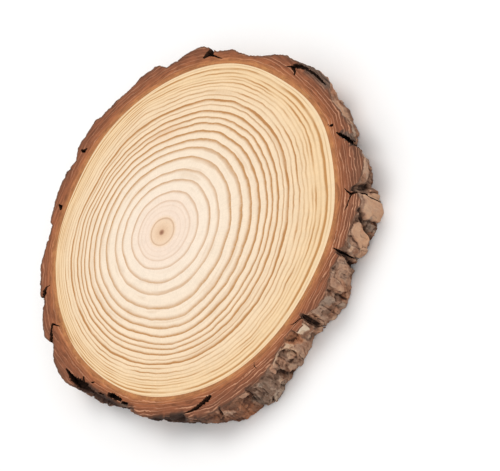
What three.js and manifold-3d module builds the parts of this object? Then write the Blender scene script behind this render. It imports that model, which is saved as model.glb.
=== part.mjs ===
// A round slice sawn across a conifer trunk, wood and bark grown together in one piece.
// It lies flat on one sawn face. Z is up along the grain, and -Y is the side with the widest open bark.
// Lengths are in millimetres. Angles are in degrees round the middle of the wood, from +X towards +Y.
// A depth is measured down from the upper sawn face.

import * as THREE from 'three';
import { mergeVertices } from 'three/addons/utils/BufferGeometryUtils.js';
import Module from 'manifold-3d';

const THICKNESS = 25;
const WOOD_CENTRE = new THREE.Vector2(0.4, 2.2);
const WOOD_RADIUS = 125;
const LEAST_BARK = 3.5;
const EDGE_SHARE = 0.3;
const EDGE_DEPTH = 7;
const COLUMNS = 330;
const LEVELS = 9;
const OVERCUT = 2;
const COLOUR = 0xdcb78c;

// The outer edge of the bark on the upper sawn face: angle, then distance from the middle of the wood.
const BARK_EDGE = [
  [0, 139], [5, 136.5], [10, 132.5], [14.5, 131.2], [19, 132.8], [21.5, 135.7], [28, 135],
  [31, 139], [34, 141.5], [38, 140.3], [42, 138], [47, 137], [50, 141.3], [55, 141],
  [59, 138.8], [67, 138.4], [73.5, 139.8], [75, 141.5], [85, 140.5], [88.5, 135.6], [92.5, 138.2],
  [103, 137.6], [107.5, 137], [110, 133.5], [116, 135.4], [122, 139.5], [124.5, 138.4],
  [131.5, 139.2], [134, 136], [137.5, 139.6], [141, 142], [145.5, 143], [149.5, 138],
  [154.5, 143.5], [158, 144.7], [165, 144.3], [170.5, 140.6], [175.5, 138], [177, 140],
  [185.5, 139], [186.5, 135.8], [191.5, 135.2], [194, 139], [200, 141.5], [206, 142.5],
  [213, 144.5], [220, 147], [229, 146], [232, 144], [238, 144.5], [241, 142.5], [245, 140.5],
  [249, 137.5], [253, 135], [257, 136.5], [264, 137], [268, 141], [271, 141.8], [276, 138.5],
  [279, 136.8], [281, 139], [285, 141.5], [293, 143.5], [296, 147.5], [299, 149], [303, 144],
  [308, 149.5], [312, 150.3], [316, 147.5], [320, 144], [329, 141.5], [335, 139.8],
  [338, 141], [340, 145.5], [345, 144.8], [350, 142.5], [354, 140], [357, 138.5],
];

// How far the bark's edge on the lower sawn face lies outside the upper one, or inside it below 0.
const LOWER_EDGE = [
  [0, 0], [12, 1.5], [30, -2.5], [48, -3.5], [62, 1], [86, -0.5], [108, 2], [128, -3], [150, -1.5],
  [172, 1.5], [190, -1], [200, -2], [210, -5], [217, -4.5], [222, -3.5], [224.5, 0.6], [232, 1.2],
  [238, 2.6], [250, 2.5], [254.5, 0.5], [258.5, -5], [262, -0.5], [267.5, -2.7], [273, 1.5],
  [278, -2], [282, -3.6], [285, -6.5], [287, -1], [290.5, 1.5], [292, 3], [296, 0], [302, 2.5],
  [305.5, 0], [307.5, -9.5], [313.5, -8.3], [317, -8], [319.5, -10], [323, -11], [327.5, -4.7],
  [333, -4], [336, -2.7], [341, -8.3], [346, -8], [349, -6], [353, -0.5],
];

// Open cracks that run down the grain: their line on the sawn face as angle and distance, and their width.
const CRACKS = [
  { line: [[29.2, 141], [30, 136.5], [32.4, 133]], width: 5 },
  { line: [[83.8, 133.6], [85.2, 134.8], [85, 137.4]], width: 2.6 },
  { line: [[104, 130.8], [103.2, 131.6], [103, 134]], width: 2.6 },
  { line: [[129.6, 131.6], [130, 135.4], [132.6, 138]], width: 4 },
  { line: [[145.4, 129.4], [143.4, 133.6], [145.6, 137], [149.4, 140]], width: 4 },
  { line: [[160, 138.4], [164, 139.4], [170.6, 137.6]], width: 6.5 },
  { line: [[180.4, 131.8], [183, 131.4], [186.4, 131.8]], width: 4.6 },
  { line: [[213.2, 139.8], [217, 139.2], [219.6, 136.8], [223, 134.2]], width: 4 },
  { line: [[261.4, 132], [262.2, 136], [262.4, 142]], width: 3.2 },
  { line: [[284.9, 133.6], [284.2, 137.5], [283.4, 144]], width: 3.2 },
  { line: [[303.9, 134.6], [302, 140.8], [303.4, 152]], width: 4.4 },
  { line: [[323.7, 134], [320.8, 138.8], [317.8, 144], [315.2, 151]], width: 4.2 },
  { line: [[327.5, 130.4], [327.4, 133.2]], width: 2.6 },
  { line: [[341.4, 142.2], [345, 141], [350.4, 139], [355.2, 133.4]], width: 4.2 },
];

// Furrows down the side: angle and depth where each starts and ends, its width and how far it cuts in.
const FURROWS = [
  { start: [223.6, 2], end: [222.4, 15], width: 3, cut: 2 },
  { start: [244, 10], end: [247, 27], width: 4, cut: 3.5 },
  { start: [262.5, -2], end: [261.6, 20], width: 5, cut: 5 },
  { start: [272.6, 1], end: [272.4, 21], width: 3, cut: 1.8 },
  { start: [284.4, -2], end: [281.8, 23], width: 5, cut: 4.5 },
  { start: [297.2, 1], end: [290.4, 26], width: 4.5, cut: 3 },
  { start: [303, -2], end: [306.4, 18], width: 6, cut: 5 },
  { start: [315.8, -2], end: [320, 14], width: 5, cut: 4 },
];

// Scales of bark on the side: angle and depth of the middle, width, height, and how far each stands out.
const SCALES = [
  { at: [221.6, 6], size: [10, 16], rise: 1.4 },
  { at: [229.6, 17], size: [8, 20], rise: 1.2 },
  { at: [233, 4], size: [8, 10], rise: 1.3 },
  { at: [238, 12], size: [13, 24], rise: 0.9 },
  { at: [252, 5], size: [8, 13], rise: 1.5 },
  { at: [258.8, 5], size: [8, 13], rise: 1.8 },
  { at: [266, 11], size: [8, 22], rise: 1.5 },
  { at: [278.6, 12], size: [9, 22], rise: 1.4 },
  { at: [289.6, 12], size: [11, 22], rise: 1.6 },
  { at: [300.4, 15], size: [18, 26], rise: 1.8 },
  { at: [309.6, 6], size: [12, 14], rise: 0.8 },
  { at: [323.4, 6], size: [17, 14], rise: 1.6 },
  { at: [331.4, 9], size: [10, 18], rise: -1 },
];
const SEED = 11;
const SEEDED_SCALES = 120;
const SEEDED_FURROWS = 36;

// Places where the bark broke away below the upper face: angles, how far in, and the depth of the ledge.
const BROKEN_EDGES = [
  { from: 170.5, to: 185.5, inner: 134.4, depth: 8 },
  { from: 199, to: 214, inner: 139.6, depth: 6 },
  { from: 252, to: 257.6, inner: 132.8, depth: 9 },
];

const radians = THREE.MathUtils.degToRad;
const clamp = THREE.MathUtils.clamp;
const smooth = (t) => THREE.MathUtils.smoothstep(t, 0, 1);
const turnBetween = (a, b) => THREE.MathUtils.euclideanModulo(a - b + 180, 360) - 180;

// A seeded sequence, so the same bark grows every time.
function seeded(seed) {
  let state = seed;
  return (low, high) => {
    state = (state * 1664525 + 1013904223) % 4294967296;
    return low + (high - low) * state / 4294967296;
  };
}

function seededScales(draw) {
  const scales = [];
  for (let i = 0; i < SEEDED_SCALES; i++) {
    scales.push({
      at: [360 * (i + draw(0, 1)) / SEEDED_SCALES, draw(-2, THICKNESS + 2)],
      size: [draw(9, 24), draw(12, 36)],
      rise: draw(-2.2, 1.8),
    });
  }
  return scales;
}

function seededFurrows(draw) {
  const furrows = [];
  for (let i = 0; i < SEEDED_FURROWS; i++) {
    const angle = 360 * (i + draw(0, 1)) / SEEDED_FURROWS;
    const depth = draw(-6, THICKNESS / 2);
    furrows.push({
      start: [angle, depth],
      end: [angle + draw(-2.5, 2.5), depth + draw(9, THICKNESS)],
      width: draw(2.5, 4.5),
      cut: draw(1, 3),
    });
  }
  return furrows;
}

// Reads between the points of a list that starts at 0 degrees and goes once round.
function readAround(points, angle) {
  const turned = THREE.MathUtils.euclideanModulo(angle, 360);
  const next = points.findIndex(([a]) => a > turned);
  const [a0, value0] = points.at(next < 0 ? -1 : next - 1);
  const [a1, value1] = next < 0 ? [360, points[0][1]] : points[next];
  return THREE.MathUtils.mapLinear(turned, a0, a1, value0, value1);
}

// The outline from one sawn face to the other, before scales and furrows.
function edgeAt(angle, depth) {
  return readAround(BARK_EDGE, angle) + readAround(LOWER_EDGE, angle) * smooth(depth / THICKNESS);
}

// How far a scale lifts the surface: its full rise over a rounded oblong, falling to nothing at its rim.
function scaleLift(scale, angle, depth) {
  const across = radians(turnBetween(angle, scale.at[0])) * edgeAt(angle, depth) / (scale.size[0] / 2);
  const along = (depth - scale.at[1]) / (scale.size[1] / 2);
  const outward = Math.abs(across) ** 3 + Math.abs(along) ** 3;
  return scale.rise * smooth((1 - outward) / 0.5);
}

function furrowCut(furrow, angle, depth) {
  const { start, end, width, cut } = furrow;
  const along = (depth - start[1]) / (end[1] - start[1]);
  const middle = THREE.MathUtils.lerp(start[0], end[0], clamp(along, 0, 1));
  const across = Math.abs(radians(turnBetween(angle, middle))) * edgeAt(angle, depth) / (width / 2);
  const beyond = Math.max(0, Math.abs(along - 0.5) - 0.5) * 6;
  return cut * smooth(1.3 - across) * smooth(1 - beyond);
}

function brokenEdge(angle, depth, radius) {
  for (const { from, to, inner, depth: ledge } of BROKEN_EDGES) {
    const inside = Math.min(turnBetween(angle, from), turnBetween(to, angle));
    const floor = ledge * smooth(inside / 3);
    if (depth < floor) return Math.min(radius, inner);
  }
  return radius;
}

const draw = seeded(SEED);
const SMALL_SCALES = seededScales(draw);
const SMALL_FURROWS = seededFurrows(draw);

// How far these scales and furrows together move the surface out.
function reliefOf(scales, furrows, angle, depth) {
  let relief = 0;
  for (const scale of scales) relief += scaleLift(scale, angle, depth);
  for (const furrow of furrows) relief -= furrowCut(furrow, angle, depth);
  return relief;
}

// Distance of the bark's surface from the middle of the wood. The seeded scales and furrows are
// shallow at the upper face, where the list above already gives the outline.
function barkRadius(angle, depth) {
  const share = EDGE_SHARE + (1 - EDGE_SHARE) * smooth(depth / EDGE_DEPTH);
  const named = reliefOf(SCALES, FURROWS, angle, depth);
  const small = reliefOf(SMALL_SCALES, SMALL_FURROWS, angle, depth);
  const radius = edgeAt(angle, depth) + named + share * small;
  return Math.max(brokenEdge(angle, depth, radius), WOOD_RADIUS + LEAST_BARK);
}

// The uncracked slice: rings of points up the side, closed by a fan on each sawn face.
function sliceGeometry() {
  const positions = [0, 0, 0, 0, 0, THICKNESS];
  for (let level = 0; level <= LEVELS; level++) {
    const z = THICKNESS * level / LEVELS;
    for (let column = 0; column < COLUMNS; column++) {
      const angle = 360 * column / COLUMNS;
      const radius = barkRadius(angle, THICKNESS - z);
      positions.push(radius * Math.cos(radians(angle)), radius * Math.sin(radians(angle)), z);
    }
  }
  const at = (level, column) => 2 + level * COLUMNS + column % COLUMNS;
  const faces = [];
  for (let column = 0; column < COLUMNS; column++) {
    faces.push(0, at(0, column + 1), at(0, column));
    faces.push(1, at(LEVELS, column), at(LEVELS, column + 1));
    for (let level = 0; level < LEVELS; level++) {
      const corner = at(level, column + 1);
      const opposite = at(level + 1, column);
      faces.push(at(level, column), corner, opposite);
      faces.push(corner, at(level + 1, column + 1), opposite);
    }
  }
  const geometry = new THREE.BufferGeometry();
  geometry.setAttribute('position', new THREE.Float32BufferAttribute(positions, 3));
  geometry.setIndex(faces);
  return geometry;
}

// A crack is pointed where it starts in the bark and keeps its width towards its other end.
function crackGeometry({ line, width }) {
  const points = line.map(([angle, distance]) =>
    new THREE.Vector2(Math.cos(radians(angle)), Math.sin(radians(angle))).multiplyScalar(distance));
  const last = points.length - 1;
  const left = [];
  const right = [];
  points.forEach((point, i) => {
    const along = points[Math.min(i + 1, last)].clone().sub(points[Math.max(i - 1, 0)]).normalize();
    const half = width / 2 * (i === 0 ? 0.25 : i === last && line.length > 2 ? 0.8 : 1);
    const side = new THREE.Vector2(-along.y, along.x).multiplyScalar(half);
    left.push(point.clone().add(side));
    right.unshift(point.clone().sub(side));
  });
  const shape = new THREE.Shape([...left, ...right]);
  const depth = THICKNESS + 2 * OVERCUT;
  const geometry = new THREE.ExtrudeGeometry(shape, { depth, bevelEnabled: false });
  return geometry.translate(0, 0, -OVERCUT);
}

const wasm = await Module();
wasm.setup();

function solidOf(geometry) {
  const bare = geometry.clone();
  bare.deleteAttribute('normal');
  bare.deleteAttribute('uv');
  const merged = mergeVertices(bare);
  const vertProperties = new Float32Array(merged.attributes.position.array);
  const triVerts = new Uint32Array(merged.index.array);
  return new wasm.Manifold(new wasm.Mesh({ numProp: 3, vertProperties, triVerts }));
}

function geometryOf(solid) {
  const { vertProperties, triVerts } = solid.getMesh();
  const geometry = new THREE.BufferGeometry();
  geometry.setAttribute('position', new THREE.BufferAttribute(vertProperties, 3));
  geometry.setIndex(new THREE.BufferAttribute(triVerts, 1));
  geometry.computeVertexNormals();
  return geometry;
}

let slice = solidOf(sliceGeometry());
for (const crack of CRACKS) slice = slice.subtract(solidOf(crackGeometry(crack)));

const material = new THREE.MeshStandardMaterial({ color: COLOUR, roughness: 0.75, metalness: 0 });
const woodSlice = new THREE.Mesh(geometryOf(slice), material);
woodSlice.name = 'wood_slice';
woodSlice.position.set(WOOD_CENTRE.x, WOOD_CENTRE.y, 0);

const part = new THREE.Group();
part.add(woodSlice);

export default part;
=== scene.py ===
import math

import bmesh
import bpy
import numpy as np
from mathutils import Matrix, Vector


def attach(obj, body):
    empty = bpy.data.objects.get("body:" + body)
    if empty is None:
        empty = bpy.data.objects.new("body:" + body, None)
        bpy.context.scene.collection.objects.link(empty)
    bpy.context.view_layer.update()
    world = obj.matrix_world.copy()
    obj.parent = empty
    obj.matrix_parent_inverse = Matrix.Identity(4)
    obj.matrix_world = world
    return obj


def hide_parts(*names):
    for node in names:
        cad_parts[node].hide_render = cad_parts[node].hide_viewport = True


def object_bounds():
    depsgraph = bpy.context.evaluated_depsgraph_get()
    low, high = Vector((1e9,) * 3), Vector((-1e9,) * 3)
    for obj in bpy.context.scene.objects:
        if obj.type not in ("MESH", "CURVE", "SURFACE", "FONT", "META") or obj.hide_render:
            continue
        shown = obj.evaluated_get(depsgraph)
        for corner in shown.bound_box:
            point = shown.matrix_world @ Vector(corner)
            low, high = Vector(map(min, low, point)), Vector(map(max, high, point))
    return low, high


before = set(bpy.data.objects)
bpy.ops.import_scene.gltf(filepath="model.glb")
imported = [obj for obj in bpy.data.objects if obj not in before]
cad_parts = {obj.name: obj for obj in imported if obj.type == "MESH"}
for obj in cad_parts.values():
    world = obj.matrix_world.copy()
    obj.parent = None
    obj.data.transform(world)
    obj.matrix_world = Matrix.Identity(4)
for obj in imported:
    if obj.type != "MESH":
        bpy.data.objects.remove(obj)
cad_low, cad_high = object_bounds()

# The looks of a round slice sawn across a conifer trunk: the sawn wood and the bark ring round it.
# Lengths are in millimetres and go to metres where a mesh is made. Angles are in degrees round the
# middle of the wood, from +X towards +Y. A depth is measured down from the upper sawn face.

MM = 0.001
THICKNESS = (cad_high.z - cad_low.z) / MM

# The wood's middle in the row's frame, its mean radius, and the waves of its edge: how many go round, how
# high, and the angle of a crest.
WOOD_CENTRE = np.array([0.4, 2.2])
WOOD_RADIUS = 125.1
WOOD_WAVES = [
    (1, 0.4, 116), (2, 0.35, 92), (3, 0.3, 79), (4, 0.6, 39), (7, 0.3, 26), (8, 0.4, 22), (10, 0.2, 9),
]

# The bark's usual radius, a radius that its side stays outside of, and its least thickness.
BARK_RADIUS = 140
INNER_RADIUS = 125
LEAST_BARK = 3.5

# The outer edge of the bark on the upper sawn face: angle, then distance from the middle of the wood.
BARK_EDGE = [
    (0, 139), (5, 136.5), (10, 132.5), (14.5, 131.2), (19, 132.8), (21.5, 135.7), (28, 135),
    (31, 139), (34, 141.5), (38, 140.3), (42, 138), (47, 137), (50, 142), (55, 141.7),
    (59, 139.6), (67, 139.3), (73.5, 140.4), (75, 142.2), (85, 141.3), (88.5, 136.2), (92.5, 139),
    (103, 138.2), (108.6, 137.8), (109.6, 134.8), (116, 136.2), (122, 139.5), (125.4, 139),
    (132, 139.8), (134, 136.4), (137.5, 139.6), (141, 142), (145.5, 143), (149.5, 138),
    (154.5, 143.5), (158, 144.7), (165, 144.3), (170.5, 140.6), (175.5, 138), (177, 140),
    (185.5, 139), (186.5, 135.8), (191.5, 135.2), (194, 139), (200, 141.5), (206, 142.5),
    (213, 144.5), (220, 147), (229, 146), (232, 144), (238, 144.5), (241, 142.5), (245, 140.5),
    (249, 137.5), (253, 135), (257, 136.5), (264, 137), (268, 141), (271, 141.8), (276, 138.5),
    (279, 136.8), (281, 139), (285, 141.5), (293, 143.5), (296, 147.5), (299, 149), (303, 144),
    (308, 149.5), (312, 150.3), (316, 147.5), (320, 144), (329, 141.5), (335, 139.8),
    (338, 141), (340, 145.5), (345, 144.8), (350, 142.5), (354, 140), (357, 138.5),
]

# How far the bark's edge on the lower sawn face lies outside the upper one, or inside it below 0.
LOWER_EDGE = [
    (0, 0), (12, 1.5), (30, -2.5), (48, -3.5), (62, 1), (86, -0.5), (108, 2), (128, -3), (150, -1.5),
    (172, 1.5), (175.5, 0), (177.5, -4), (184, -5), (187, -0.5), (192, -1), (196, -4.4), (210, -5),
    (217, -4.5), (222, -3.5), (224.5, 0.6), (232, 1.2),
    (238, 2.6), (250, 2.5), (254.5, 0.5), (258.5, -5), (262, -0.5), (267.5, -2.7), (273, 1.5),
    (278, -2), (282, -3.6), (285, -6.5), (287, -1), (290.5, 1.5), (292, 3), (296, 0), (302, 2.5),
    (305.5, 0), (307.5, -9.5), (313.5, -8.3), (317, -8), (319.5, -10), (323, -11), (327.5, -4.7),
    (333, -4), (336, -2.7), (341, -10.3), (346, -10), (349, -6.6), (353, -0.5),
]

# Open cracks down the grain: how deep, and the points of each by angle, distance and width there. What
# cuts them stands CLEAR past the upper face, and past the lower one where a crack goes through.
CLEAR = 2
THROUGH = THICKNESS + CLEAR
CRACKS = [
    (THROUGH, [(30.4, 141, 1.4), (30.2, 138.4, 4), (30.2, 135.8, 8), (31.4, 133.8, 5), (33.2, 132.4, 1)]),
    (THROUGH, [(30, 133.5, 1.8), (27.6, 131.2, 1.2), (25.2, 129.2, 0.4)]),
    (THROUGH, [(83.4, 133.4, 1), (84.9, 134.4, 3.6), (84.9, 137.8, 1)]),
    (THROUGH, [(104.6, 131, 1.2), (103.5, 131.8, 3.6), (102.8, 134.8, 0.8)]),
    (THROUGH, [(129.6, 131, 0.5), (129.8, 133.8, 1.2), (130.6, 135.8, 3.6), (132.4, 137.2, 3.4),
              (133.4, 139.6, 3)]),
    (THROUGH, [(145.6, 128.6, 0.5), (144.2, 131.8, 1.2), (143.2, 133.8, 2.4), (144.6, 136.2, 2),
              (146.4, 137.6, 3), (149.4, 140.6, 3)]),
    (10, [(159.8, 138.8, 0.8), (162, 139.2, 2.6), (165.4, 139.2, 5.6), (168.6, 137.6, 6.4),
         (171.4, 136, 4.4)]),
    (5, [(167.2, 132.8, 0.5), (168, 133.8, 1.8), (169.2, 135, 0.8)]),
    (4, [(171.4, 131.8, 0.6), (172.2, 130.8, 1.6), (172.8, 130, 0.4)]),
    (4, [(176.4, 134.8, 0.6), (177.4, 134.2, 1.4), (179, 134, 0.6)]),
    (8, [(180.2, 132.2, 2.6), (182.4, 131.6, 4), (184.6, 131.8, 4.2), (186.8, 132.4, 2)]),
    (6, [(187, 133.8, 2), (188.4, 133.6, 2.4), (189.8, 133.4, 1.6)]),
    (THROUGH, [(212.8, 140.4, 0.8), (215, 140, 2), (217.4, 138.8, 3.6), (219.4, 136.8, 4),
              (221.4, 135, 5), (223, 134, 2.6)]),
    (THROUGH, [(240.9, 128.6, 0.4), (240.3, 131.6, 0.8), (240.8, 135, 0.4)]),
    (THROUGH, [(257.5, 129.4, 0.4), (258.6, 131.4, 0.9), (261, 133.4, 1.2), (261.8, 135, 2),
              (262.4, 138, 2.4), (262.6, 142, 3)]),
    (THROUGH, [(285, 132.6, 0.6), (284.6, 136, 1.6), (284.2, 139, 2.2), (283.6, 144, 3)]),
    (THROUGH, [(297, 135.2, 0.5), (298.4, 137.4, 1.4), (300.6, 138.6, 1.2), (301.8, 140.4, 2)]),
    (THROUGH, [(304.2, 133.8, 0.4), (303, 136.4, 1.2), (301.8, 140, 2), (302.2, 145, 3), (303, 152, 4)]),
    (THROUGH, [(324, 132.8, 1), (322.4, 135.6, 2.8), (320.2, 139.4, 3.2), (317.8, 143.6, 3.4),
              (315.4, 150, 3.6)]),
    (THROUGH, [(327.7, 129.4, 0.8), (327.4, 131.2, 2.8), (327.2, 132.8, 2)]),
    (THROUGH, [(328.4, 128.2, 0.8), (328.2, 129.2, 0.7)]),
    (5, [(340.4, 141.8, 0.8), (343, 141.4, 2), (347, 140.8, 2.2), (350.6, 139.8, 2.4),
        (353, 138.4, 3.6), (355.8, 135.4, 4)]),
    (4, [(353.2, 130.6, 1), (353.6, 132.6, 2.2), (355.6, 135.2, 3.2)]),
    (4, [(358.2, 132.6, 0.4), (357.2, 133.6, 1), (355.6, 135.4, 1.8)]),
]

# How far apart the points along a crack are, how many levels it has, and where its random numbers start.
CRACK_STEP = 0.7
CRACK_LEVELS = 7
CRACK_SEED = 400

# Furrows down the side: angle and depth where each starts and ends, its width and how far it cuts in.
FURROWS = [
    ((225, -0.5), (222, 16), 3, 2),
    ((244.6, 11), (246, 24), 4, 3.5),
    ((262.4, -2), (262, 20), 5, 5),
    ((272.6, 1), (272.4, 21), 2, 1.2),
    ((284.4, -2), (282.2, 30), 5.2, 4.8),
    ((296.6, 1), (291, 25), 4.5, 3),
    ((303, -2), (306.4, 18), 6, 5),
    ((316, -2), (320, 12), 5, 4),
]

# Scales of bark on the side: angle and depth of the top and of the bottom, width, how far each stands out,
# and its looks: lightness, how warm its brown is, and how smooth it has weathered, each from 0 to 1. The
# first three are broad grounds that only give a stretch of the side its looks.
SCALES = [
    ((180, -8), (180, 32), 80, 0, (0.16, 0.6, 0.1)),
    ((226, -8), (226, 32), 60, 0, (0.26, 0.7, 0.1)),
    ((209, -8), (209, 32), 26, 0, (0.06, 0.4, 0.2)),
    ((219, -1), (219, 16), 15, 1.2, (0.2, 0.6, 0.2)),
    ((228.6, 0), (227, 26), 12, 1.1, (0.3, 0.8, 0.3)),
    ((231, 9), (230, 27), 8, 0.5, (0.36, 1, 0.4)),
    ((233.4, -1), (233.4, 7), 7, 1.3, (0.62, 0.6, 0.5)),
    ((238.6, 1), (237.6, 27), 20, 0.9, (0.36, 0.15, 0)),
    ((246, 0), (246, 12), 10, 0.8, (0.54, 0.5, 0)),
    ((252.4, 7), (252.6, 28), 19, 0.8, (0.58, 0.5, 0)),
    ((251.2, 0), (254.8, 11), 6, 1.4, (0.74, 0.5, 0.6)),
    ((258.8, -2), (258.8, 11.5), 7.6, 1.8, (0.98, 0.1, 0.9)),
    ((266.2, -2), (266.2, 26), 8, 1.5, (0.54, 0.25, 0.5)),
    ((270, 0), (270, 28), 7, 0.8, (0.5, 0.1, 0.4)),
    ((277.6, 0), (278, 25), 19, 1.2, (0.6, 0.5, 0.1)),
    ((285.8, 1), (285.8, 22), 6, 0.8, (0.46, 0.3, 0)),
    ((292, 1.5), (289, 23), 13, 1.7, (0.74, 0.66, 0.85)),
    ((286.8, 17), (286.6, 25), 7, 1.5, (0.7, 0.6, 0.8)),
    ((297.6, 3), (293, 27), 6, 0.6, (0.44, 0.05, 0)),
    ((298.8, 3), (301, 32), 22, 1.8, (0.72, 0.58, 0.9)),
    ((309.6, -2), (309.6, 14), 16, 0.8, (0.68, 0.4, 0.7)),
    ((321.6, -1), (322.6, 13), 13, 1.6, (0.52, 0.02, 0.5)),
    ((327.4, 1), (327.8, 14), 8, 0.8, (0.3, 0.4, 0.3)),
    ((333.2, -1), (333.2, 22), 18, -0.6, (0.7, 0.55, 0.7)),
    ((338.8, 0), (338.8, 20), 6, -0.6, (0.5, 0.9, 0.5)),
]

# What else grows on the side: scales in the places of the solid's, and furrows, flakes and fine splits that
# only the scene has.
SEED = 11
SEEDED_SCALES = 120
SEEDED_FURROWS = 26
FLAKES = 1100
FIBRE_FURROWS = 90

# All these are shallow at the upper face, by EDGE_SHARE, and full at EDGE_DEPTH below it.
EDGE_SHARE = 0.3
EDGE_DEPTH = 7

# Places where the bark broke away below the upper face: angles, how far in, the depth of the ledge, and
# how light and how warm the broken face is.
BROKEN_EDGES = [
    (169, 187.6, 135.4, 8, 0.0, 0.6),
    (199, 214, 140.8, 6, 0.0, 0.4),
    (252.6, 257.4, 133.4, 8, 0.44, 1.0),
]

# Weathered places on the sawn bark: angle and distance out from the wood, and how far each reaches.
WEATHERED = [
    ((346.5, 18.4), (8, 3.6)), ((188.4, 9.5), (1.6, 1.6)), ((322.4, 12.6), (1.2, 2.4)),
    ((320.8, 16.2), (1.4, 2.8)), ((319, 20.6), (1.6, 3.4)),
]

# Arcs of the layers in the sawn bark: the angle where each begins, and how far it sags inwards. Pale lines
# lie LAYER_SPACING apart, where they show.
LAYER_ARCS = [
    (15, 1), (32, -1.2), (48, 1.4), (74, -1), (90, 1), (110, 1.4), (132, -1.6), (150, 2.2), (172, 1),
    (190, 2), (223, 4.4), (262, 3), (284, 1.2), (303, 2.2), (330, 3), (356, -1.6), (375, 1),
]
LAYER_SPACING = 2.7

# The bark's mesh: columns round the trunk, levels up the side, and shares of the way from wood to edge.
COLUMNS = 1600
LEVELS = 42
SAWN_SHARES = [0, 0.18, 0.38, 0.58, 0.78, 0.93]

# The wood's mesh: columns round it, and shares of the way from pith to edge.
WOOD_COLUMNS = COLUMNS // 2
WOOD_SHARES = [0.02, 0.06, 0.12, 0.2, 0.3, 0.4, 0.5, 0.6, 0.7, 0.8, 0.88, 0.95, 0.99, 1]

# How far the bark stands out at its rim, how far its sawn face lies below the wood's and how rough it is,
# and how far the rim is worn down.
RIM_LIFT = 0.7
BARK_SINK = 0.06
BARK_ROUGHNESS = 0.16
RIM_WEAR = 0.6

# The pith, from the middle of the wood. The rings are widest towards PITH_LEAN, by a share at the pith and
# by more for each mm further out.
PITH = np.array([-13.3, 27.0])
PITH_LEAN = 296.3
LEAN_AT_PITH = 0.07
LEAN_PER_MM = 0.0014

# The tree's years: how far out each year's dark line ends where growth was even, its width and strength.
# The wood's edge lies LAST_YEAR out.
LAST_YEAR = 124.6
YEARS = [
    (10.3, 2.2, 0.5), (15.6, 1.8, 0.1), (19.6, 2.0, 0.12), (23.0, 2.6, 0.34), (29.9, 3.4, 0.58),
    (39.7, 4.4, 0.62), (47.6, 4.6, 0.6), (57.4, 4.8, 0.74), (65.0, 4.4, 0.72), (71.0, 4.2, 0.82),
    (76.9, 3.6, 0.98), (82.5, 3.2, 0.88), (86.5, 2.8, 0.82), (91.2, 3.4, 1.0), (95.5, 1.9, 0.58),
    (99.5, 3.7, 1.1), (103.0, 1.8, 0.44), (106.7, 2.0, 0.54), (109.7, 1.4, 0.36), (112.4, 1.7, 0.5),
    (114.6, 1.3, 0.38), (116.5, 1.6, 0.54), (119.0, 1.5, 0.5), (122.2, 2.4, 0.9), (124.1, 0.8, 0.25),
]
# Bends of the rings: how far out each pushes them, its direction from the pith and spread in degrees,
# and the distance out where it is strongest and its reach.
BENDS = [
    (2.5, 35, 60, 28, 19), (-2.6, 220, 50, 30, 15), (-3.4, 34, 19, 76, 30), (3.0, 47, 9, 108, 9),
    (4.4, 136, 24, 98, 30), (1.8, 102, 7, 92, 12), (2.5, 184, 14, 108, 8), (3.2, 232, 14, 78, 18),
    (-4.8, 304, 23, 102, 14), (-2.7, 296, 32, 55, 12),
]

# The camera: the picture's size, how far above the horizon it looks from, how far it is rolled, its lens,
# and where the middle of the wood lies in the picture.
PICTURE = (500, 471)
ELEVATION = 46.0
ROLL = 62.0
LENS = 900.0
SENSOR = 36.0
WOOD_AT_PIXEL = (194.4, 229.4)
PIXELS_PER_MM = 394 / 280

# How much brighter than its own colour a surface shows on the sawn face, and on the side.
LIGHT = 1.23
SIDE_LIGHT = LIGHT * 0.76

# The floor, in metres: half its width, and how far it lies under the slice.
FLOOR_HALF = 4.0
FLOOR_DROP = 0.0002


# Numbers that grow and wear the bark

def seeded(seed):
    """Numbers in the same sequence as those that grow the bark's solid."""
    state = seed

    def draw(low, high):
        nonlocal state
        state = (state * 1664525 + 1013904223) % 4294967296
        return low + (high - low) * state / 4294967296

    return draw


def smooth(t):
    t = np.clip(t, 0, 1)
    return t * t * (3 - 2 * t)


def turn_between(a, b):
    return (a - b + 180) % 360 - 180


def read_table(table, angle, up, ease=np.asarray):
    """Reads between the points of a table by columns, which go round the trunk, and by rows."""
    across = (angle % 360) / 360 * len(table)
    left, low = np.floor(across).astype(int), np.floor(up).astype(int)
    u, v = ease(across - left), ease(up - low)
    left %= len(table)
    right = (left + 1) % len(table)
    lower = table[left, low] * (1 - u) + table[right, low] * u
    upper = table[left, low + 1] * (1 - u) + table[right, low + 1] * u
    return lower * (1 - v) + upper * v


def lattice_noise(seed, angle, height, cell, cell_height):
    """Smooth noise from -1 to 1 that closes round the trunk. Cells are in mm."""
    columns = max(3, round(2 * math.pi * BARK_RADIUS / cell))
    below = int(-np.min(height) / cell_height)
    rows = int(np.max(height) / cell_height) + below + 4
    table = np.random.default_rng(seed).uniform(-1, 1, (columns, rows))
    return read_table(table, angle, height / cell_height + below + 1, smooth)


def rough_noise(seed, angle, height, cell, cell_height, octaves=3):
    total = 0
    for octave in range(octaves):
        shrink = 2 ** octave
        size = (cell / shrink, cell_height / shrink)
        total = total + lattice_noise(seed + octave, angle, height, *size) / shrink
    return total


def wood_edge(angle):
    """Distance of the wood's edge from its middle."""
    return WOOD_RADIUS + sum(
        height * np.cos(np.radians(turns * (angle - crest))) for turns, height, crest in WOOD_WAVES
    )


def read_around(points, angle):
    angles, values = zip(*points)
    return np.interp(angle, angles, values, period=360)


def edge_at(angle, depth):
    """The bark's outline from one sawn face to the other, before scales and furrows."""
    return read_around(BARK_EDGE, angle) + read_around(LOWER_EDGE, angle) * smooth(depth / THICKNESS)


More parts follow.
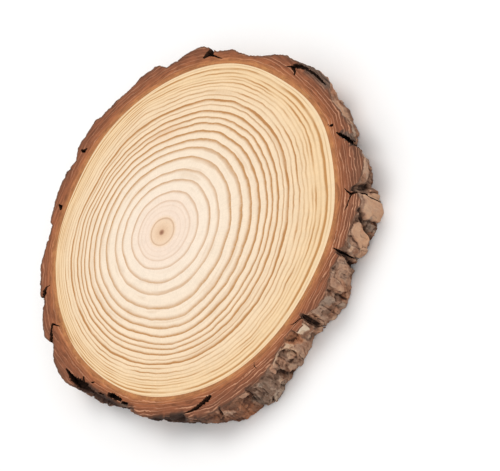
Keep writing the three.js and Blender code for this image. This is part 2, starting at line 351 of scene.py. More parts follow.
def layer_sag(angle):
    """How far the bark's layers lie inside an even distance from the wood."""
    starts, sags = np.array(LAYER_ARCS).T
    turned = (angle - starts[0]) % 360 + starts[0]
    arc = np.clip(np.searchsorted(starts, turned, side="right") - 1, 0, len(starts) - 2)
    along = (turned - starts[arc]) / (starts[arc + 1] - starts[arc])
    return 4 * along * (1 - along) * sags[arc]


def grown_scales(draw):
    scales = []
    for i in range(SEEDED_SCALES):
        angle = 360 * (i + draw(0, 1)) / SEEDED_SCALES
        depth = draw(-2, THICKNESS + 2)
        width, height = draw(9, 24), draw(12, 36)
        scales.append(((angle, depth - height / 2), (angle, depth + height / 2), width, draw(-2.2, 1.8)))
    return scales


def grown_furrows(draw):
    furrows = []
    for i in range(SEEDED_FURROWS):
        angle = 360 * (i + draw(0, 1)) / SEEDED_FURROWS
        depth = draw(-6, THICKNESS / 2)
        end = (angle + draw(-2.5, 2.5), depth + draw(9, THICKNESS))
        furrows.append(((angle, depth), end, draw(2.5, 4.5), draw(1, 3)))
    return furrows


def columns_near(angle, reach):
    """The grid columns within reach degrees of an angle."""
    middle = round(angle / 360 * COLUMNS)
    span = math.ceil(reach / 360 * COLUMNS)
    return np.arange(middle - span, middle + span + 1) % COLUMNS


class BarkSurface:
    """The bark's outer side as a grid: its distance from the middle of the wood, and its looks."""

    def __init__(self):
        self.angles = np.arange(COLUMNS) * 360 / COLUMNS
        self.heights = np.linspace(0, THICKNESS, LEVELS + 1)
        self.angle, self.height = np.meshgrid(self.angles, self.heights)
        self.depth = THICKNESS - self.height
        self.edge = edge_at(self.angle, self.depth)
        # The ragged outline of each scale comes from bending the grid that it is drawn on.
        self.ragged_angle = self.angle + 0.4 * self.noise(21, 5, 9)
        self.ragged_depth = self.depth + 1.6 * self.noise(31, 6, 7)
        self.tone = 0.46 + 0.12 * self.noise(51, 16, 22)
        self.warmth = 0.42 + 0.24 * self.noise(55, 22, 20)
        self.calm = np.zeros_like(self.edge)
        self.grow()
        self.cavity = self.relief(2.4)
        self.hollow = self.relief(9.0)

    def noise(self, seed, *cells_and_octaves):
        return rough_noise(seed, self.angle, self.height, *cells_and_octaves)

    def add_scale(self, lift, scale, edge_share, look_share):
        """Lifts a rounded oblong with a ragged rim, and gives it the looks of its scale."""
        (top_angle, top_depth), (end_angle, end_depth), width, rise, looks = scale
        lean = (end_angle - top_angle) / 2
        reach = math.degrees(width / 2 / INNER_RADIUS) + abs(lean) + 2
        columns = columns_near(top_angle + lean, reach)
        angle, depth = self.ragged_angle[:, columns], self.ragged_depth[:, columns]
        along = (depth * 2 - top_depth - end_depth) / (end_depth - top_depth)
        middle = top_angle + lean * (1 + along)
        across = np.radians(turn_between(angle, middle)) * self.edge[:, columns] / (width / 2)
        inside = 1 - (np.abs(across) ** 3 + np.abs(along) ** 3)
        lift[:, columns] += rise * smooth(inside / edge_share)
        share = smooth(inside / 0.12) * look_share
        for grid, value in zip((self.tone, self.warmth, self.calm), looks):
            grid[:, columns] += (value - grid[:, columns]) * share

    def add_furrow(self, lift, furrow, held=0):
        """Cuts a furrow and darkens it with painted shade. Where it is held, it leaves the smooth scales as
        they are.
        """
        (start_angle, start_depth), (end_angle, end_depth), width, cut = furrow
        middle_angle = (start_angle + end_angle) / 2
        columns = columns_near(middle_angle, abs(end_angle - start_angle) / 2 + 4)
        angle, depth = self.ragged_angle[:, columns], self.ragged_depth[:, columns]
        along = (depth - start_depth) / (end_depth - start_depth)
        middle = start_angle + (end_angle - start_angle) * np.clip(along, 0, 1)
        across = np.abs(np.radians(turn_between(angle, middle))) * self.edge[:, columns] / (width / 2)
        beyond = np.maximum(0, np.abs(along - 0.5) - 0.5) * 6
        share = smooth(1.3 - across) * smooth(1 - beyond) * (1 - held * self.calm[:, columns])
        lift[:, columns] -= cut * share
        # Painted shade: the furrow's tone is darker the deeper it cuts.
        self.tone[:, columns] *= 1 - 0.6 * share * min(1, cut / 3)

    def grow(self):
        """Lays scales, furrows, flakes and splits over the outline and breaks the edges."""
        draw = seeded(SEED)
        seeded_scales, seeded_furrows = grown_scales(draw), grown_furrows(draw)
        toned = np.random.default_rng(SEED)
        named, small, fine = (np.zeros_like(self.edge) for _ in range(3))
        for scale in seeded_scales:
            looks = (toned.uniform(0.3, 0.7), toned.uniform(0.1, 0.8), toned.uniform(0, 0.4))
            self.add_scale(small, (*scale, looks), 0.3, 0.6)
        for scale in SCALES:
            self.add_scale(named, scale, 0.22, 0.94)
        small *= 1 - 0.75 * self.calm
        for furrow in FURROWS:
            self.add_furrow(named, furrow)
        for furrow in seeded_furrows:
            self.add_furrow(small, furrow, 1)
        self.add_flakes(fine, toned)
        self.add_fibres(fine, toned)
        share = EDGE_SHARE + (1 - EDGE_SHARE) * smooth(self.depth / EDGE_DEPTH)
        self.radius = self.edge + named + share * (small + fine * (1 - 0.8 * self.calm))
        self.radius += RIM_LIFT * (1 - smooth(self.depth / EDGE_DEPTH))
        self.radius += 0.36 * self.noise(41, 2.6, 12)
        self.break_edges()
        self.radius = np.maximum(self.radius, wood_edge(self.angle) + LEAST_BARK)

    def add_flakes(self, lift, draw):
        """Small thin flakes, which lie on the big scales."""
        calm = self.calm.copy()
        for _ in range(FLAKES):
            angle, depth = draw.uniform(0, 360), draw.uniform(0, THICKNESS)
            width, reach, rise = draw.uniform(2.2, 8), draw.uniform(1.2, 3.6), draw.uniform(-0.7, 0.6)
            row, column = int((1 - depth / THICKNESS) * LEVELS), int(angle / 360 * COLUMNS)
            tone = self.tone[row, column] + draw.uniform(-0.26, 0.26)
            looks = (tone, self.warmth[row, column] + draw.uniform(-0.3, 0.3))
            ends = ((angle, depth - reach), (angle + draw.uniform(-1, 1), depth + reach))
            self.add_scale(lift, (*ends, width, rise, looks), 0.16, 0.8 * (1 - calm[row, column]))

    def add_fibres(self, lift, draw):
        """Short narrow splits along the grain, and the fine roughness between them."""
        for _ in range(FIBRE_FURROWS):
            angle, depth = draw.uniform(0, 360), draw.uniform(-4, THICKNESS - 3)
            end = (angle + draw.uniform(-1.5, 1.5), depth + draw.uniform(4, 12))
            furrow = ((angle, depth), end, draw.uniform(0.9, 1.6), draw.uniform(0.3, 1))
            self.add_furrow(lift, furrow, 0.8)
        lift += 0.34 * self.noise(81, 3.4, 3.4)
        lift += 0.16 * self.noise(91, 1.4, 1.6, 2)

    def break_edges(self):
        """Tears ragged ledges out of the side below the upper face, and gives them their looks."""
        ragged = self.noise(61, 5, 30)
        ragged = self.depth + 1.3 * ragged * smooth(self.depth / 3)
        for start, end, inner, ledge, tone, warmth in BROKEN_EDGES:
            inside = np.minimum(turn_between(self.ragged_angle, start), turn_between(end, self.ragged_angle))
            slope = min(3, (end - start) / 5)
            gone = (inside > 0) & (ragged <= ledge * smooth(inside / slope))
            torn = inner + 0.8 * self.noise(71, 3, 5)
            lost = np.maximum(0, self.radius - torn) * smooth(inside * 1.4 / slope)
            self.radius -= lost * gone
            marked = (inside > 0) & (ragged < (ledge + 1.5) * smooth(inside * 1.5 / slope))
            self.tone = np.where(marked, tone, self.tone)
            self.warmth = np.where(marked, warmth, self.warmth)

    def relief(self, size):
        """How far the surface stands above or below its neighbourhood, as blurred over a size in mm."""
        steps = max(1, round(size / 3 / (2 * math.pi * BARK_RADIUS / COLUMNS)))
        rows = max(1, round(size / 3 / (THICKNESS / LEVELS)))
        blurred = self.radius
        for _ in range(3):
            blurred = sum(np.roll(blurred, k, axis=1) for k in range(-steps, steps + 1)) / (2 * steps + 1)
            padded = np.pad(blurred, ((rows, rows), (0, 0)), mode="edge")
            blurred = sum(padded[k:k + LEVELS + 1] for k in range(2 * rows + 1)) / (2 * rows + 1)
        return self.radius - blurred


# Meshes

def around(angle, radius, height):
    """Points in metres, in the row's frame, from angles, distances and heights in mm."""
    turned = np.radians(angle)
    return np.stack([
        WOOD_CENTRE[0] + radius * np.cos(turned),
        WOOD_CENTRE[1] + radius * np.sin(turned),
        np.broadcast_to(height, np.shape(radius)),
    ], axis=-1) * MM


def make_piece(name, points, faces, material):
    mesh = bpy.data.meshes.new(name)
    mesh.from_pydata(points.reshape(-1, 3).tolist(), [], faces)
    mesh.materials.append(material)
    piece = bpy.data.objects.new(name, mesh)
    bpy.context.scene.collection.objects.link(piece)
    return piece


def band_faces(rows, columns, closed=False):
    """Faces between rows of points that go round. Where it is closed, the last row joins the first."""
    i, j = np.meshgrid(np.arange(columns), np.arange(rows if closed else rows - 1))
    k, m = (i + 1) % columns, (j + 1) % rows
    corners = [j * columns + i, j * columns + k, m * columns + k, m * columns + i]
    return np.stack(corners, axis=-1).reshape(-1, 4).tolist()


def bark_ring(surface, material):
    """The closed ring of bark. Its section goes out along the lower face, up the side and back in."""
    angle = surface.angles
    inner = wood_edge(angle)
    radii, heights = [], []

    def sawn_row(share, rim_radius, seed):
        radius = inner + share * (rim_radius - inner)
        rough = 0.5 + 0.5 * rough_noise(seed, angle, radius - 120, 2.2, 2.2, 2)
        return radius, BARK_SINK + BARK_ROUGHNESS * np.clip(rough, 0, 1) * min(1, 4 * share)

    for share in SAWN_SHARES:
        radius, sunk = sawn_row(share, surface.radius[0], 101)
        radii.append(radius)
        heights.append(sunk)
    wear = RIM_WEAR * np.clip(0.35 + 0.65 * rough_noise(111, angle, angle * 0, 3, 9), 0.1, 1)
    for radius, height in zip(surface.radius, surface.heights):
        radii.append(radius)
        heights.append(np.clip(height, wear, THICKNESS - wear))
    for share in reversed(SAWN_SHARES):
        radius, sunk = sawn_row(share, surface.radius[-1], 121)
        radii.append(radius)
        heights.append(THICKNESS - sunk)
    radii, heights = np.array(radii), np.array(heights)
    points = around(angle, radii, heights)
    return make_piece("bark", points, band_faces(len(radii), COLUMNS, True), material)


def crack_points(knots):
    """A crack's line and half widths, with a point about every step."""
    knots = np.array(knots, float)
    turned = np.radians(knots[:, 0])
    line = np.stack([knots[:, 1] * np.cos(turned), knots[:, 1] * np.sin(turned)], axis=1)
    run = np.concatenate([[0], np.cumsum(np.hypot(*np.diff(line, axis=0).T))])
    places = np.linspace(0, run[-1], max(4, math.ceil(run[-1] / CRACK_STEP)))
    x, y = (np.interp(places, run, line[:, k]) for k in (0, 1))
    half = np.interp(places, run, knots[:, 2]) / 2
    return np.stack([x, y], axis=1), half


def crack_solid(number, crack, material):
    """A closed solid the shape of the open crack: jagged, narrower further down and leaning a little."""
    depth, knots = crack
    line, half = crack_points(knots)
    draw = np.random.default_rng(CRACK_SEED + number)
    along = np.gradient(line, axis=0)
    along /= np.linalg.norm(along, axis=1)[:, None]
    side = np.stack([-along[:, 1], along[:, 0]], axis=1)
    jag = draw.uniform(0.65, 1.25, (2, len(line)))
    levels = np.linspace(THICKNESS - depth, THICKNESS + CLEAR, CRACK_LEVELS)
    lean = draw.choice([-1, 1]) * draw.uniform(1.5, 3)
    points = []
    for height in levels:
        gone = 1 - np.clip(height / THICKNESS, 0, 1)
        open_half = half * (1 - 0.65 * gone)
        wander = side * (lean * gone ** 1.5) + draw.uniform(-0.25, 0.25, 2)
        left = line + side * (open_half * jag[0])[:, None] + wander
        right = line - side * (open_half * jag[1])[:, None] + wander
        loop = np.concatenate([left, right[::-1]]) + WOOD_CENTRE
        points.append(np.column_stack([loop, np.full(len(loop), height)]) * MM)
    count = 2 * len(line)
    # The loops run clockwise, so the faces between them are turned over.
    faces = [(b, a, d, c) for a, b, c, d in band_faces(len(levels), count)]
    top = (len(levels) - 1) * count
    for i in range(len(line) - 1):
        opposite = count - 1 - i
        faces.append((i, i + 1, opposite - 1, opposite))
        faces.append((top + opposite, top + opposite - 1, top + i + 1, top + i))
    return make_piece(f"crack_{number}", np.array(points), faces, material)


def cut_cracks(piece, material):
    """Cuts the cracks out of a piece, which keeps its name and gets the material on their walls."""
    cutters = [crack_solid(number, crack, material) for number, crack in enumerate(CRACKS)]
    for cutter in cutters:
        cut = piece.modifiers.new(cutter.name, "BOOLEAN")
        cut.object = cutter
        cut.operation = "DIFFERENCE"
        cut.solver = "MANIFOLD"
        cut.material_mode = "TRANSFER"
    shown = piece.evaluated_get(bpy.context.evaluated_depsgraph_get())
    old, new = piece.data, bpy.data.meshes.new_from_object(shown)
    piece.modifiers.clear()
    piece.data = new
    new.name = old.name
    bpy.data.meshes.remove(old)
    for cutter in cutters:
        mesh = cutter.data
        bpy.data.objects.remove(cutter)
        bpy.data.meshes.remove(mesh)


def drop_crumbs(piece):
    """Keeps the largest shell of a piece and deletes the crumbs that the cracks cut loose."""
    shape = bmesh.new()
    shape.from_mesh(piece.data)
    left, shells = set(shape.verts), []
    while left:
        shell = [left.pop()]
        for vertex in shell:
            joined = {edge.other_vert(vertex) for edge in vertex.link_edges} & left
            left -= joined
            shell += joined
        shells.append(shell)
    shells.sort(key=len)
    for shell in shells[:-1]:
        bmesh.ops.delete(shape, geom=shell, context="VERTS")
    shape.to_mesh(piece.data)
    shape.free()


def weathered(angle, out):
    """How weathered the sawn bark is, from 0 to 1."""
    total = np.zeros_like(angle)
    for (at_angle, at_out), (reach_angle, reach_out) in WEATHERED:
        across = turn_between(angle, at_angle) / reach_angle
        total = np.maximum(total, smooth(1.6 - across ** 4 - ((out - at_out) / reach_out) ** 4))
    return total


def mark_bark(piece, surface):
    """Writes what the bark's finish reads: its relief and looks, its layers, and the way to its edge."""
    mesh = piece.data
    points = np.zeros(len(mesh.vertices) * 3)
    mesh.vertices.foreach_get("co", points)
    points = points.reshape(-1, 3) / MM
    x, y = points[:, 0] - WOOD_CENTRE[0], points[:, 1] - WOOD_CENTRE[1]
    angle, radius, height = np.degrees(np.arctan2(y, x)), np.hypot(x, y), points[:, 2]
    out = radius - wood_edge(angle)
    up = np.clip(height / THICKNESS * LEVELS, 0, LEVELS - 1e-6)

    def read(grid):
        return read_table(grid.T, angle, up)

    marks = {
        "relief": read(surface.cavity),
        "hollow": read(surface.hollow),
        "tone": read(surface.tone),
        "warmth": read(surface.warmth),
        "calm": read(surface.calm),
        "layer": out + layer_sag(angle) * smooth(out / 9),
        "weather": weathered(angle, out),
        "from_edge": read(surface.radius) - radius,
    }
    for name, values in marks.items():
        attribute = mesh.attributes.new(name, "FLOAT", "POINT")
        attribute.data.foreach_set("value", values.astype(np.float32))


def shade_smooth(piece, sharp_over):
    piece.data.shade_smooth()
    piece.data.set_sharp_from_angle(angle=math.radians(sharp_over))


def cut_wood_disc(material):
    """The wood as a closed disc, laid out from the pith so that its faces follow the rings."""
    angle = np.arange(WOOD_COLUMNS) * 360 / WOOD_COLUMNS
    rim = around(angle, wood_edge(angle), 0.0)[:, :2] / MM
    pith = WOOD_CENTRE + PITH
    lower = np.zeros((len(WOOD_SHARES), WOOD_COLUMNS, 3))
    lower[..., :2] = pith + np.multiply.outer(WOOD_SHARES, rim - pith)
    upper = lower[::-1] + (0, 0, THICKNESS)
    rows = np.concatenate([lower, upper])
    points = np.concatenate([rows.reshape(-1, 3), [[*pith, 0], [*pith, THICKNESS]]]) * MM
    faces = band_faces(len(rows), WOOD_COLUMNS)
    last = (len(rows) - 1) * WOOD_COLUMNS
    low_middle, high_middle = len(points) - 2, len(points) - 1
    for i in range(WOOD_COLUMNS):
        k = (i + 1) % WOOD_COLUMNS
        faces.append((k, i, low_middle))
        faces.append((last + i, last + k, high_middle))
    return make_piece("cut_wood", points, faces, material)


# Finishes

def linear(channel):
    """An sRGB channel from 0 to 255 as a linear share."""
    share = channel / 255
    return share / 12.92 if share <= 0.04045 else ((share + 0.055) / 1.055) ** 2.4


def seen(red, green, blue, light=LIGHT):
    """The surface colour that shows as this sRGB colour in the studio's light."""
    return tuple(min(0.95, linear(channel) / light) for channel in (red, green, blue)) + (1.0,)


class Value:
    """A socket whose number or colour changes over a surface. Python's operators add nodes to it."""

    def __init__(self, finish, socket):
        self.finish = finish
        self.socket = socket

    def math(self, operation, *values):
        return self.finish.node("ShaderNodeMath", {"operation": operation}, dict(enumerate((self, *values))))

    def __add__(self, other):
        return self.math("ADD", other)

    def __sub__(self, other):
        return self.math("SUBTRACT", other)

    def __mul__(self, other):
        return self.math("MULTIPLY", other)

    def __truediv__(self, other):
        return self.math("DIVIDE", other)

    def __pow__(self, other):
        return self.math("POWER", other)

    __radd__ = __add__
    __rmul__ = __mul__

    def __rsub__(self, other):
        return self.finish.node("ShaderNodeMath", {"operation": "SUBTRACT"}, {0: other, 1: self})

    def __rtruediv__(self, other):
        return self.finish.node("ShaderNodeMath", {"operation": "DIVIDE"}, {0: other, 1: self})

    def between(self, low, high, shape="SMOOTHSTEP"):
        """0 at low and below, 1 at high and above."""
        return self.finish.node(
            "ShaderNodeMapRange", {"interpolation_type": shape}, {0: self, 1: low, 2: high, 3: 0.0, 4: 1.0}
        )

    def ramp(self, low, high):
        return self.between(low, high, "LINEAR")

    def line(self, middle, half_width):
        """1 at middle, falling to 0 at half_width away."""
        return 1 - (self - middle).math("ABSOLUTE").between(0, half_width)


class Finish:
    """A material whose nodes are written as expressions."""

    def __init__(self, name):
        self.material = bpy.data.materials.new(name)
        self.material.use_nodes = True
        self.tree = self.material.node_tree
        self.shader = self.tree.nodes["Principled BSDF"]

    def node(self, kind, settings=None, sockets=None, output=0):
        """Adds a node with its settings and its sockets' values, and gives one of its outputs."""
        made = self.tree.nodes.new(kind)
        for name, value in (settings or {}).items():
            if name == "stops":
                self.set_stops(made.color_ramp, value)
            else:
                setattr(made, name, value)
        for name, value in (sockets or {}).items():
            if isinstance(value, Value):
                self.tree.links.new(value.socket, made.inputs[name])
            else:
                made.inputs[name].default_value = value
        return Value(self, made.outputs[output])

    def set_stops(self, ramp, stops):
        while len(ramp.elements) < len(stops):
            ramp.elements.new(1.0)
        for element, (place, colour) in zip(ramp.elements, stops):
            element.position = place
            element.color = colour

    def colours(self, value, stops, light=LIGHT):
        """A colour that follows a value from 0 to 1 through stops, each a place and an sRGB colour."""
        stops = [(place, seen(*colour, light)) for place, *colour in stops]
        return self.node("ShaderNodeValToRGB", {"stops": stops}, {0: value})

    def mix(self, share, first, second, blend="MIX"):
        settings = {"data_type": "RGBA", "blend_type": blend}
        return self.node("ShaderNodeMix", settings, {0: share, 6: first, 7: second}, output=2)

    def shaded(self, colour, shade):
        """The colour made darker or lighter by a factor."""
        return self.mix(1.0, colour, self.vector(shade, shade, shade), "MULTIPLY")

    def place(self):
        """Object coordinates in mm."""
        place = self.node("ShaderNodeTexCoord", output="Object")
        return self.node("ShaderNodeVectorMath", {"operation": "SCALE"}, {0: place, 3: 1 / MM})

    def stretched(self, place, scales):
        return self.node("ShaderNodeVectorMath", {"operation": "MULTIPLY"}, {0: place, 1: scales})

    def parts(self, vector):
        split = self.node("ShaderNodeSeparateXYZ", sockets={0: vector}).socket.node
        return [Value(self, socket) for socket in split.outputs]

    def vector(self, x, y, z):
        return self.node("ShaderNodeCombineXYZ", sockets={0: x, 1: y, 2: z})

    def noise(self, place, size, detail=3.0, roughness=0.5):
        """Noise from 0 to 1 with features about size wide."""
        sockets = {"Vector": place, "Scale": 1 / size, "Detail": detail, "Roughness": roughness}
        return self.node("ShaderNodeTexNoise", sockets=sockets)

    def round_noise(self, direction, turns, out, detail, roughness=0.5):
        """Noise in streaks round a middle: shorter with more turns, thinner where out changes faster."""
        x, y = direction
        return self.noise(self.vector(x * turns, y * turns, out), 1, detail, roughness)

    def cell_colours(self, place, size):
        """A random colour for each cell of about that size."""
        sockets = {"Vector": place, "Scale": 1 / size}
        return self.node("ShaderNodeTexVoronoi", {"feature": "F1"}, sockets, "Color")

    def attribute(self, name):
        return self.node("ShaderNodeAttribute", {"attribute_name": name}, output=2)

    def wear(self, colour, roughness, height=None, specular=0.35):
        """Connects the surface's colour, roughness and, where it isn't smooth, its height in mm."""
        worn = {"Base Color": colour, "Roughness": roughness}
        if height is not None:
            sockets = {"Strength": 1.0, "Distance": MM, "Height": height}
            worn["Normal"] = self.node("ShaderNodeBump", sockets=sockets)
        for name, value in worn.items():
            self.tree.links.new(value.socket, self.shader.inputs[name])
        self.shader.inputs["Specular IOR Level"].default_value = specular
        return self.material


def wood_wave(turned):
    """The wood edge's waves as an expression of the angle in radians."""
    total = 0.0
    for turns, height, crest in WOOD_WAVES:
        total = (turned * turns - math.radians(turns * crest)).math("COSINE") * height + total
    return total


def past_wood(x, y):
    """The distance from the middle of the wood, and how much of it lies past the wood's edge."""
    distance = (x ** 2 + y ** 2).math("SQRT")
    return distance, distance - wood_wave(y.math("ARCTAN2", x)) - WOOD_RADIUS


def ring_bends(turned, even):
    """How far the rings are pushed out, by direction from the pith and by distance."""
    total = 0.0
    for push, direction, spread, strongest, reach in BENDS:
        narrow = (1 / math.radians(spread)) ** 2
        across = ((turned - math.radians(direction)).math("COSINE") - 1) * narrow
        along = (even - strongest) / reach
        total = (across - along * along * 0.5).math("EXPONENT") * push + total
    return total


def year_lines(grown):
    """Latewood: it darkens slowly outwards in each year and ends at once."""
    total = 0.0
    for radius, width, strength in YEARS:
        rise = grown.between(radius - width, radius - 0.3) ** 2
        fall = 1 - grown.ramp(radius - 0.15, radius + 0.35)
        total = rise * fall * strength + total
    return total


def sawn_wood():
    """End grain: eccentric growth rings, a brown pith, a pinkish core and faint rays."""
    wood = Finish("sawn_softwood")
    place = wood.place()
    x, y, _ = wood.parts(place)
    from_middle_x, from_middle_y = x - WOOD_CENTRE[0], y - WOOD_CENTRE[1]
    from_pith_x, from_pith_y = from_middle_x - PITH[0], from_middle_y - PITH[1]
    distance = (from_pith_x ** 2 + from_pith_y ** 2).math("SQRT") + 0.001
    lean = math.radians(PITH_LEAN)
    along = (from_pith_x * math.cos(lean) + from_pith_y * math.sin(lean)) / distance
    steady = along * LEAN_AT_PITH + 1
    ring_width = (steady ** 2 + along * distance * (4 * LEAN_PER_MM)).math("SQRT")
    even = distance * 2 / (steady + ring_width)

    # The outer rings follow the wood's edge, and the others bend with the tree.
    turned_at_pith = from_pith_y.math("ARCTAN2", from_pith_x)
    _, out = past_wood(from_middle_x, from_middle_y)
    to_edge = (out / ring_width - even + LAST_YEAR) * even.between(82, 122)
    wiggle = (wood.noise(place, 15, 1.0) - 0.5) * 2.4 + (wood.noise(place, 5, 2.0) - 0.5) * 0.8
    wiggle = wiggle * even.between(4, 40) * (1 - even.between(104, 122) * 0.7)
    grown = even + to_edge - ring_bends(turned_at_pith, even) + wiggle

    direction = (from_pith_x / distance, from_pith_y / distance)
    rays = wood.round_noise(direction, 60, even * 0.06, 3.0)
    false_rings = wood.round_noise(direction, 5, grown / 1.5, 3.0, 0.6)
    second_rings = wood.round_noise(direction, 1.6, grown / 3.4, 1.0)
    fleck = wood.noise(place, 0.9, 2.0, 0.6)
    mottle = wood.noise(place, 12, 3.0)
    broad = wood.noise(place, 60, 2.0)
    faded = wood.round_noise(direction, 4, grown / 3, 1.0).between(0.3, 0.7)
    faded = 1 + (faded * 1.3 - 0.6) * grown.between(92, 104)
    lines = year_lines(grown) * (broad * 0.9 + 0.68) * (rays * 0.7 + 0.65) * faded
    soft = second_rings.between(0.56, 0.74) * 0.2 * grown.between(20, 50)
    lines = (lines + soft).math("MINIMUM", 1.0)

    early = wood.colours(grown / LAST_YEAR, [
        (0.0, 150, 104, 76), (0.01, 180, 132, 101), (0.018, 230, 194, 160), (0.05, 241, 209, 177),
        (0.085, 244, 216, 187), (0.1, 247, 224, 204), (0.17, 248, 226, 206), (0.27, 250, 232, 211),
        (0.5, 249, 229, 204), (0.66, 248, 224, 193), (0.84, 246, 218, 180), (0.94, 245, 213, 168),
        (0.98, 245, 214, 170), (1.0, 245, 216, 175),
    ])
    late = wood.colours(grown / LAST_YEAR, [
        (0.0, 186, 138, 104), (0.2, 204, 158, 114), (0.45, 197, 146, 90), (0.8, 188, 131, 70),
        (1.0, 194, 138, 74),
    ])
    colour = wood.mix(lines, early, late)
    stain = (turned_at_pith - math.radians(36)).line(0, 0.3) * even.line(79, 10)
    colour = wood.mix(stain * 0.3 * mottle, colour, seen(226, 160, 104))
    shade = (rays - 0.5) * 0.16 + (fleck - 0.5) * 0.16 + (false_rings - 0.5) * 0.18
    colour = wood.shaded(colour, shade + (mottle - 0.5) * 0.06 + 1)
    height = lines * 0.05 + fleck * 0.05 + rays * 0.03
    return wood.wear(colour, 0.6 + fleck * 0.16 - lines * 0.1, height)


def bark_skin():
    """Bark: layered reddish brown where it is sawn, and grey brown scales with tan patches outside."""
    bark = Finish("conifer_bark")
    place = bark.place()
    x, y, z = bark.parts(place)
    from_middle_x, from_middle_y = x - WOOD_CENTRE[0], y - WOOD_CENTRE[1]
    distance, out = past_wood(from_middle_x, from_middle_y)
    relief, hollow, layer = bark.attribute("relief"), bark.attribute("hollow"), bark.attribute("layer")
    tone, warmth, calm = bark.attribute("tone"), bark.attribute("warmth"), bark.attribute("calm")
    weather, from_edge = bark.attribute("weather"), bark.attribute("from_edge")
    facing = bark.parts(bark.node("ShaderNodeNewGeometry", output="True Normal"))[2].math("ABSOLUTE")
    near_face = z.math("MINIMUM", THICKNESS - z)
    sawn = facing.between(0.7, 0.9) * (1 - near_face.between(0.7, 1.3))
    grain = bark.noise(place, 0.7, 3.0, 0.65)
    mottle = bark.noise(place, 4.5, 4.0, 0.6)

    # The sawn bark: thin layers that run along the trunk's edge, and pale lines between thicker ones
    direction = (from_middle_x / distance, from_middle_y / distance)
    uneven = bark.round_noise(direction, 4, layer / 3.4, 2.0)
    bend = (bark.noise(place, 9, 2.0) - 0.5) * 2.6 + (bark.noise(place, 2.6, 2.0) - 0.5) * 0.9
    folded = layer + bend + (uneven - 0.5) * 4.4
    streaks = bark.round_noise(direction, 14, folded / 0.85, 3.0, 0.6)
    bands = bark.round_noise(direction, 9, folded / 2.4, 2.0)
    phase = (folded / LAYER_SPACING).math("FRACT")
    fade = bark.round_noise(direction, 7, folded / 2.6, 1.0)
    front = (direction[1] * -1).between(-0.35, 0.35) * 0.5 + 0.5
    pale_line = phase.line(0.5, 0.16) * fade.between(0.3, 0.6) * out.between(1.0, 5.0) * front
    sawn_colour = bark.colours(out / 20, [
        (0.0, 182, 122, 78), (0.08, 181, 119, 74), (0.18, 172, 109, 69), (0.3, 156, 94, 60),
        (0.45, 143, 86, 57), (0.7, 132, 80, 55), (1.0, 124, 79, 57),
    ])
    layered = (streaks - 0.5) * 1.5 + (bands - 0.5) * 1.0 + (mottle - 0.5) * 0.5
    sawn_colour = bark.shaded(sawn_colour, layered * (out.between(0, 4) * 0.4 + 0.6) + 1)
    dark_line = phase.line(0.22, 0.26) * fade.between(0.4, 0.7) * out.between(2, 6)
    sawn_colour = bark.mix(dark_line * 0.4, sawn_colour, seen(108, 56, 34))
    amber = mottle.between(0.5, 0.64) * (1 - out.between(1.5, 4.5))
    sawn_colour = bark.mix(amber * 0.3, sawn_colour, seen(202, 150, 90))
    sawn_colour = bark.mix(pale_line * 0.8, sawn_colour, seen(226, 168, 132))
    edge = 1 - from_edge.between(0.3, 1.9)
    sawn_colour = bark.mix(edge * 0.65, sawn_colour, seen(98, 73, 58))
    decayed = (1 - from_edge.between(0.5, 4.0)) * (1 - tone.between(0.1, 0.36)) * streaks.between(0.3, 0.5)
    sawn_colour = bark.mix(decayed * 0.8, sawn_colour, seen(56, 40, 31))
    weathered_colour = bark.mix(streaks.between(0.3, 0.7), seen(46, 35, 29), seen(124, 102, 88))
    sawn_colour = bark.mix(weather * 0.9, sawn_colour, weathered_colour)

    # The weathered outside: cells of flakes, each with its own shade, and grey or warm brown between, with
    # painted shade in the hollows
    fibres = bark.noise(bark.stretched(place, (1.0, 1.0, 0.4)), 1.4, 4.0, 0.62)
    flakes = bark.stretched(place, (1.0, 1.0, 0.6))
    own_shade = bark.parts(bark.cell_colours(flakes, 5.5))[0]
    patches = bark.noise(place, 7, 3.0, 0.6)
    rough = 1 - calm * 0.7
    # The relief term is painted shade: places below their neighbourhood get a darker tone, raised ones a
    # lighter one.
    spread = (fibres - 0.5) * 0.5 + (patches - 0.5) * 0.4 + (own_shade - 0.5) * 0.16 + relief * 0.12
    aged = tone + spread * rough * tone.between(-0.15, 0.35)
    grey = bark.colours(aged, [
        (0.0, 46, 33, 27), (0.2, 88, 68, 55), (0.4, 126, 106, 91), (0.6, 158, 136, 119),
        (0.8, 188, 166, 143), (1.0, 212, 194, 170),
    ], SIDE_LIGHT)
    warm = bark.colours(aged, [
        (0.0, 54, 32, 23), (0.2, 110, 68, 47), (0.4, 150, 98, 68), (0.6, 182, 128, 96),
        (0.8, 206, 156, 118), (1.0, 222, 180, 144),
    ], SIDE_LIGHT)
    warmer = warmth + (bark.noise(place, 5, 3.0) - 0.5) * 0.7
    side_colour = bark.mix(warmer.ramp(0, 1), grey, warm)
    # Painted shade: the side darkens towards deep brown in its hollows and where it lies below its
    # neighbourhood.
    shade = (hollow.between(-3.6, 0.0) * 0.65 + 0.35) * (relief.between(-0.7, 0.0) * 0.65 + 0.35)
    side_colour = bark.mix(1 - shade, side_colour, seen(44, 28, 21, SIDE_LIGHT))
    lichen = bark.noise(place, 2.0, 4.0, 0.7).between(0.6, 0.7) * relief.between(-0.2, 0.2) * rough
    side_colour = bark.mix(lichen * 0.4, side_colour, seen(176, 168, 152, SIDE_LIGHT))

    colour = bark.mix(sawn, side_colour, sawn_colour)
    colour = bark.shaded(colour, (grain - 0.5) * 0.34 + 1)
    sawn_height = streaks * 0.22 + grain * 0.14 + pale_line * 0.08
    side_height = (fibres * 0.4 + patches * 0.3) * rough + grain * 0.25
    height = sawn * sawn_height + (1 - sawn) * side_height
    return bark.wear(colour, 0.78 + grain * 0.14, height, 0.22)


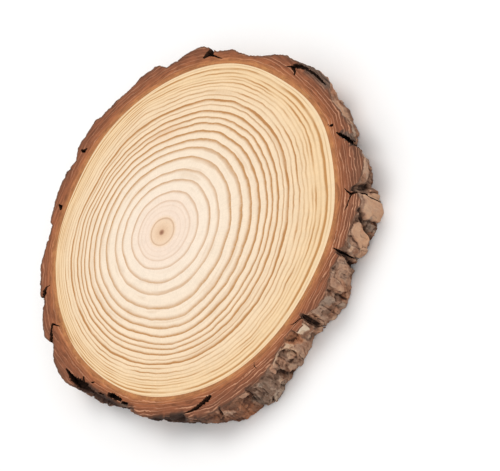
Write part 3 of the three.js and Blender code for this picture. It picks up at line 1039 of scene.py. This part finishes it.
def crack_wall_painted_shade():
    """Inside the open cracks: painted shade, dark deep down and lightening to a little red brown at the lip.
    """
    wall = Finish("crack_wall_painted_shade")
    place = wall.place()
    z = wall.parts(place)[2]
    near_face = z.math("MINIMUM", THICKNESS - z)
    grain = wall.noise(place, 1.2, 3.0, 0.6)
    dark = wall.mix(grain.between(0.35, 0.65), seen(34, 21, 16), seen(70, 46, 34))
    # Painted shade: the wall lightens towards the sawn faces, as if more light reached it there.
    lip = 1 - near_face.between(0.4, 5.0)
    colour = wall.mix(lip * 0.5, dark, seen(108, 70, 50))
    return wall.wear(colour, 0.85 + grain * 0.1, grain * 0.4, 0.15)


def studio_floor():
    floor = Finish("studio_floor")
    speck = floor.noise(floor.place(), 40, 2.0)
    colour = floor.mix(speck, (0.86, 0.86, 0.86, 1), (0.88, 0.88, 0.88, 1))
    return floor.wear(colour, 0.8 + speck * 0.05, specular=0.1)


# The studio

def make_floor():
    corners = np.array([[-1, -1, 0], [1, -1, 0], [1, 1, 0], [-1, 1, 0]]) * FLOOR_HALF
    corners[:, 2] = -FLOOR_DROP
    floor = make_piece("floor", corners, [(0, 1, 2, 3)], studio_floor())


def make_lights():
    world = bpy.data.worlds.new("studio")
    bpy.context.scene.world = world
    world.use_nodes = True
    sky = world.node_tree.nodes["Background"]
    sky.inputs["Color"].default_value = (1.0, 0.995, 0.99, 1)
    sky.inputs["Strength"].default_value = 0.95
    key = bpy.data.lights.new("key", "SUN")
    key.energy = 1.05
    key.angle = math.radians(40)
    key.color = (1.0, 0.99, 0.975)
    lamp = bpy.data.objects.new("key", key)
    lamp.rotation_euler = Vector((0.25, 0.45, 1.0)).to_track_quat("Z", "Y").to_euler()
    bpy.context.scene.collection.objects.link(lamp)


def make_camera():
    """Looks at the middle of the wood from in front, rolled, with the wood left of the picture's middle."""
    elevation, roll = math.radians(ELEVATION), math.radians(ROLL)
    ahead = Vector((0, math.cos(elevation), -math.sin(elevation)))
    right, up = Vector((1, 0, 0)), Vector((0, math.sin(elevation), math.cos(elevation)))
    rolled_right = right * math.cos(roll) - up * math.sin(roll)
    rolled_up = right * math.sin(roll) + up * math.cos(roll)
    focal = LENS / SENSOR * PICTURE[0]
    across = WOOD_AT_PIXEL[0] - PICTURE[0] / 2
    above = PICTURE[1] / 2 - WOOD_AT_PIXEL[1]
    forward = (ahead * focal - rolled_right * across - rolled_up * above).normalized()
    side = (rolled_right - forward * forward.dot(rolled_right)).normalized()
    top = side.cross(forward)
    camera = bpy.data.objects.new("camera", bpy.data.cameras.new("camera"))
    camera.data.lens = LENS
    camera.data.sensor_width = SENSOR
    camera.data.clip_start, camera.data.clip_end = 1.0, 100
    target = Vector((*(WOOD_CENTRE * MM), THICKNESS * MM))
    reach = math.sqrt(focal ** 2 + across ** 2 + above ** 2) / PIXELS_PER_MM * MM
    turn = Matrix((side, top, -forward)).transposed().to_4x4()
    camera.matrix_world = Matrix.Translation(target - ahead * reach) @ turn
    bpy.context.scene.collection.objects.link(camera)
    bpy.context.scene.camera = camera


make_camera()
make_lights()
make_floor()
bpy.context.scene.view_settings.view_transform = "Standard"

surface = BarkSurface()
wall = crack_wall_painted_shade()
bark = bark_ring(surface, bark_skin())
cut_cracks(bark, wall)
drop_crumbs(bark)
mark_bark(bark, surface)
shade_smooth(bark, 48)
wood = cut_wood_disc(sawn_wood())
shade_smooth(wood, 30)

for piece, slot in ((wood, "wood"), (bark, "bark")):
    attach(piece, "root")
    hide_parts("wood_slice")
